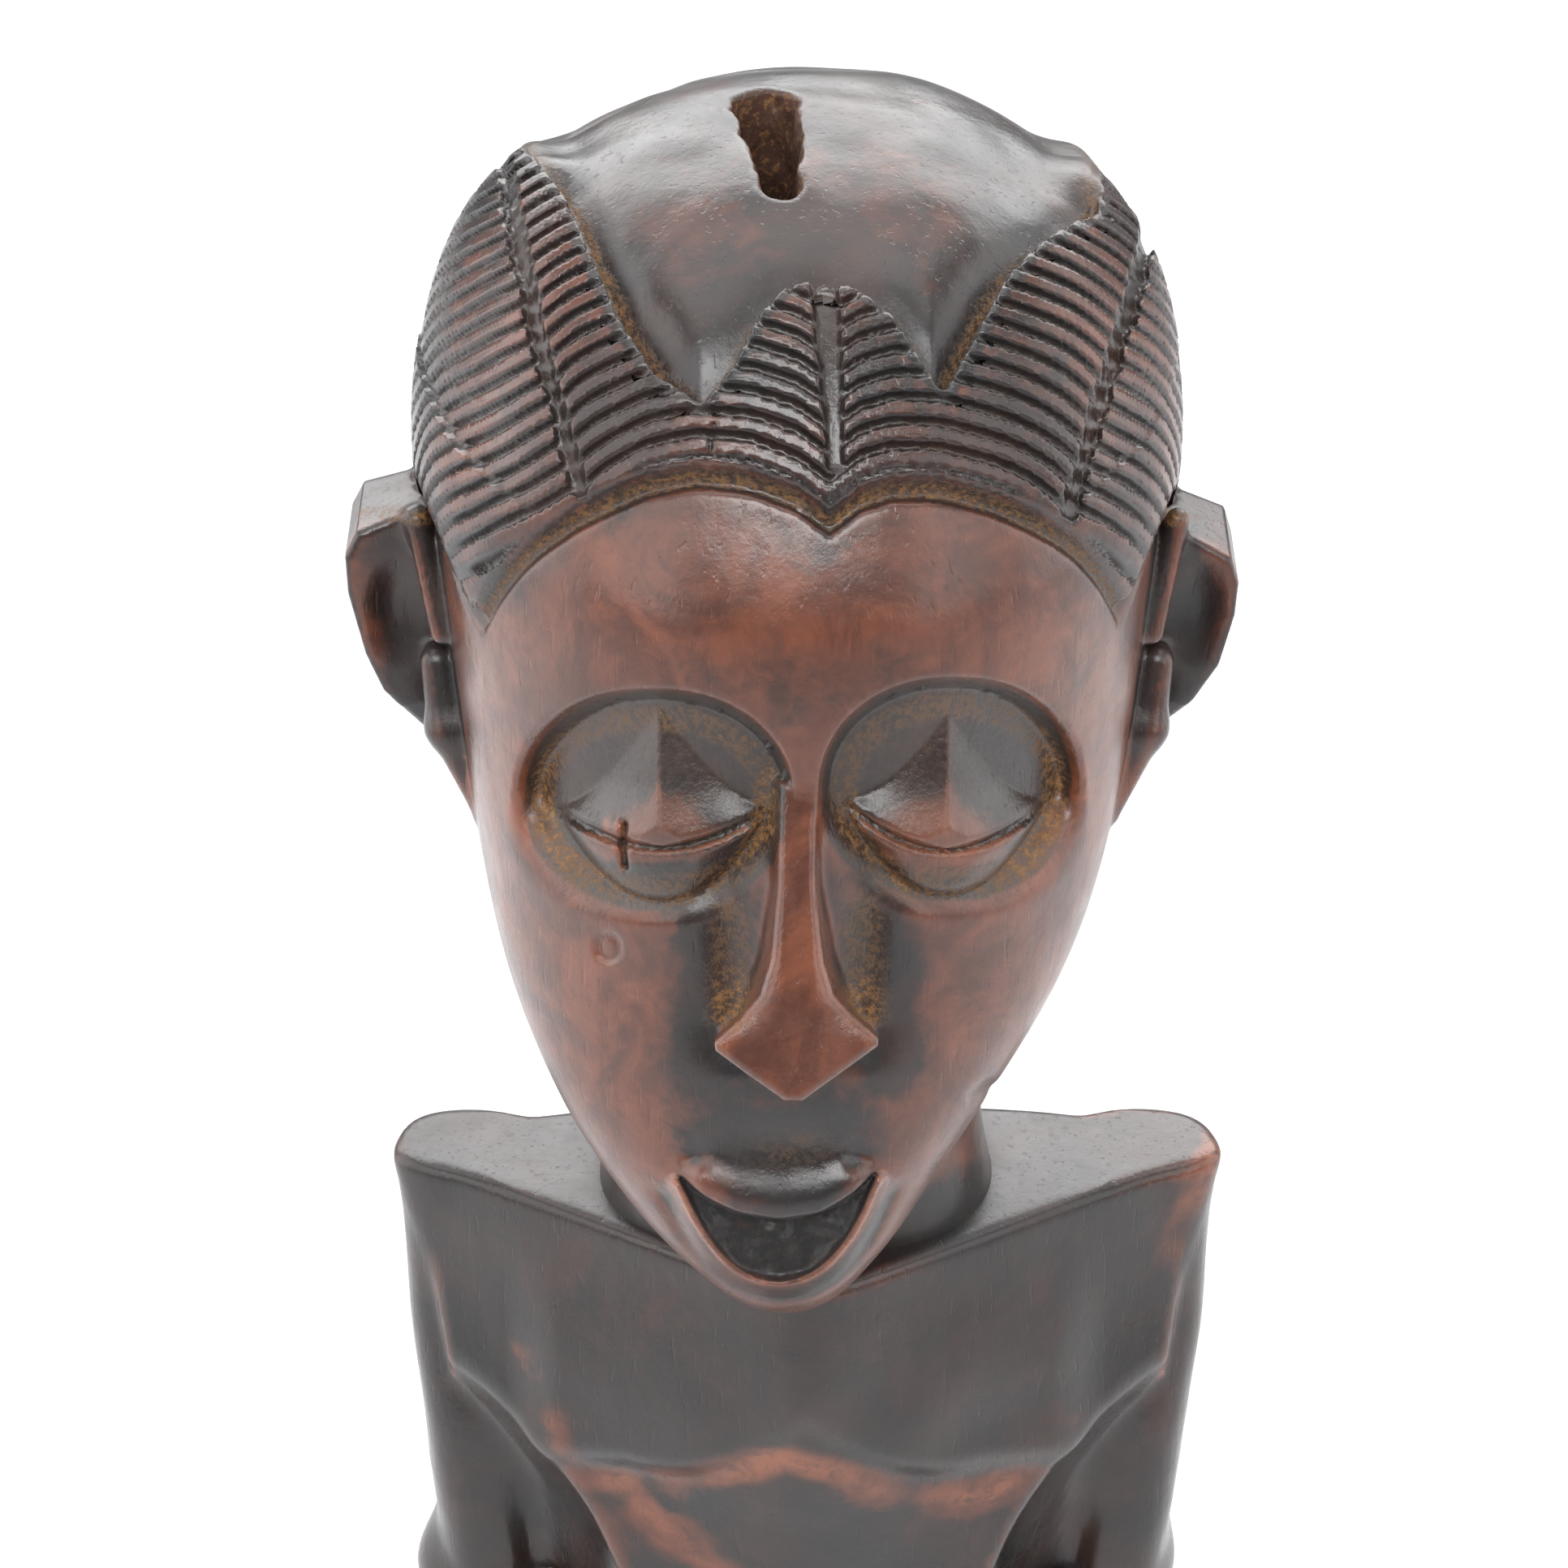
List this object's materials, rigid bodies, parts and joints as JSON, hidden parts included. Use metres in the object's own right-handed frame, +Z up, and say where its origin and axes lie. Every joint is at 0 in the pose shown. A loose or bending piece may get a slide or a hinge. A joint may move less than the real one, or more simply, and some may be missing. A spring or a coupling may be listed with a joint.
{
  "type": "carved fertility doll",
  "caption": "Free-standing carved hardwood fertility doll with a plaited coiffure, closed eyes in round sockets, hands on the belly and a flat base.",
  "frame": {"origin": "on the flat underside of the base, under the middle of the doll's bounding box", "axes": "+Z up through the crown; the figure faces -Y; +X on the right of a viewer who faces the figure"},
  "size_m": [0.084, 0.0881, 0.357],
  "materials": {
    "wood": "dark red-brown hardwood, oiled and waxed, black patina in the hollows, worn orange-brown on the edges",
    "residue": "matted brown plant fibre and dust, matt"
  },
  "bodies": {
    "root": {"base": "wood", "left_foot": "wood", "right_foot": "wood", "left_leg": "wood", "right_leg": "wood", "hips": "wood", "torso": "wood", "left_upper_arm": "wood", "right_upper_arm": "wood", "left_forearm": "wood", "right_forearm": "wood", "neck": "wood", "face": "wood", "left_ear": "wood", "right_ear": "wood", "coiffure": "wood", "crown_cap": "wood", "socket_residue": "residue"}
  },
  "joints": []
}
